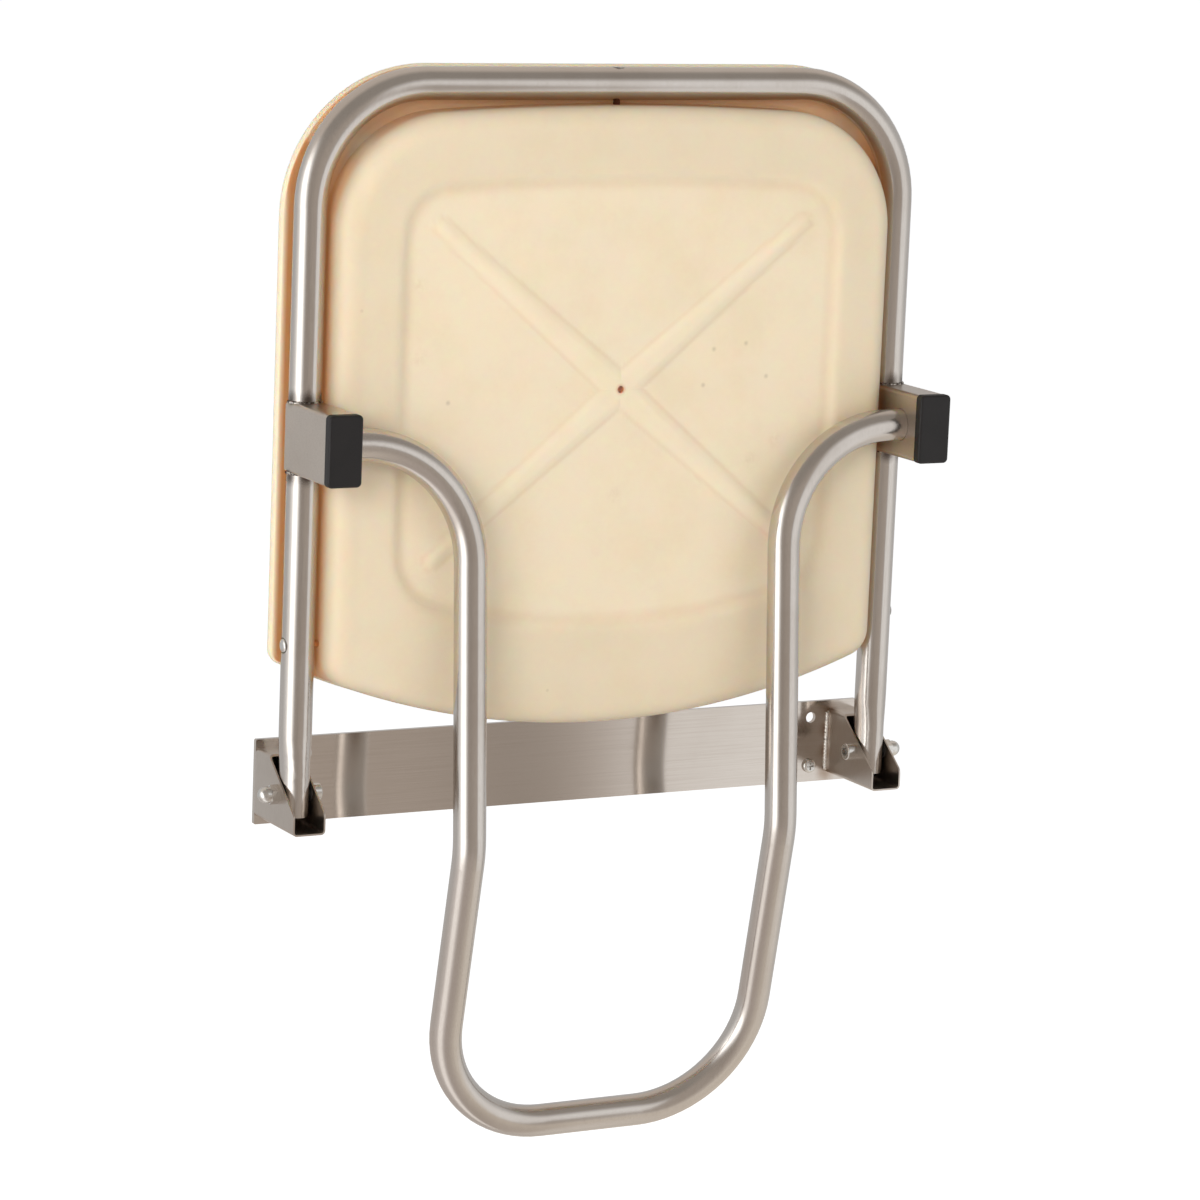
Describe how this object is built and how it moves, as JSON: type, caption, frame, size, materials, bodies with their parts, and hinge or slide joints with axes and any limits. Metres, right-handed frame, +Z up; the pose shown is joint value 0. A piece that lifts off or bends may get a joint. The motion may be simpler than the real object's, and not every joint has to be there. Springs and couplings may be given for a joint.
{
  "type": "fold down wall seat",
  "caption": "Wall seat that folds flat: a plate with hinge brackets, a bent tube frame with a moulded seat, and a bent tube leg that hangs from blocks on the frame.",
  "frame": {"origin": "middle of the wall plate's back face, the face that lies on the wall", "axes": "+Y into the wall, +Z up, +X along the wall plate to the right as seen from the room"},
  "size_m": [0.424, 0.0944, 0.6286],
  "materials": {
    "stainless_tube": "satin stainless steel, drawn tube",
    "stainless_plate": "stainless flat bar and box section, brushed along its length",
    "bright_fastener": "bright plated steel",
    "seat_plastic": "cream blow moulded polyethylene with a soft sheen",
    "black_plastic": "black moulded end caps",
    "washer_plastic": "natural nylon"
  },
  "bodies": {
    "wall_mount": {"wall_plate": "stainless_plate", "left_hinge_bracket": "stainless_plate", "left_pivot_screw": "bright_fastener", "left_pivot_dome_nut": "bright_fastener", "left_pivot_washers": "washer_plastic", "left_wall_screw": "bright_fastener", "right_hinge_bracket": "stainless_plate", "right_pivot_screw": "bright_fastener", "right_pivot_dome_nut": "bright_fastener", "right_pivot_washers": "washer_plastic", "right_wall_screw": "bright_fastener"},
    "seat": {"seat_frame_tube": "stainless_tube", "seat_panel": "seat_plastic", "seat_front_screw": "bright_fastener", "left_seat_side_screw": "bright_fastener", "left_leg_block": "stainless_plate", "left_leg_block_cap": "black_plastic", "right_seat_side_screw": "bright_fastener", "right_leg_block": "stainless_plate", "right_leg_block_cap": "black_plastic"},
    "leg": {"leg_tube": "stainless_tube"}
  },
  "joints": [
    {"name": "seat_fold", "type": "hinge", "parent": "wall_mount", "child": "seat", "pos_m": [0, -0.035, 0], "axis": [1, 0, 0], "range_deg": [-2, 90]},
    {"name": "leg_swing", "type": "hinge", "parent": "seat", "child": "leg", "pos_m": [0, -0.069, 0.205], "axis": [-1, 0, 0], "range_deg": [-2, 90]}
  ],
  "couplings": [
    {"joint": "leg_swing", "follows": "seat_fold", "ratio": 1}
  ]
}
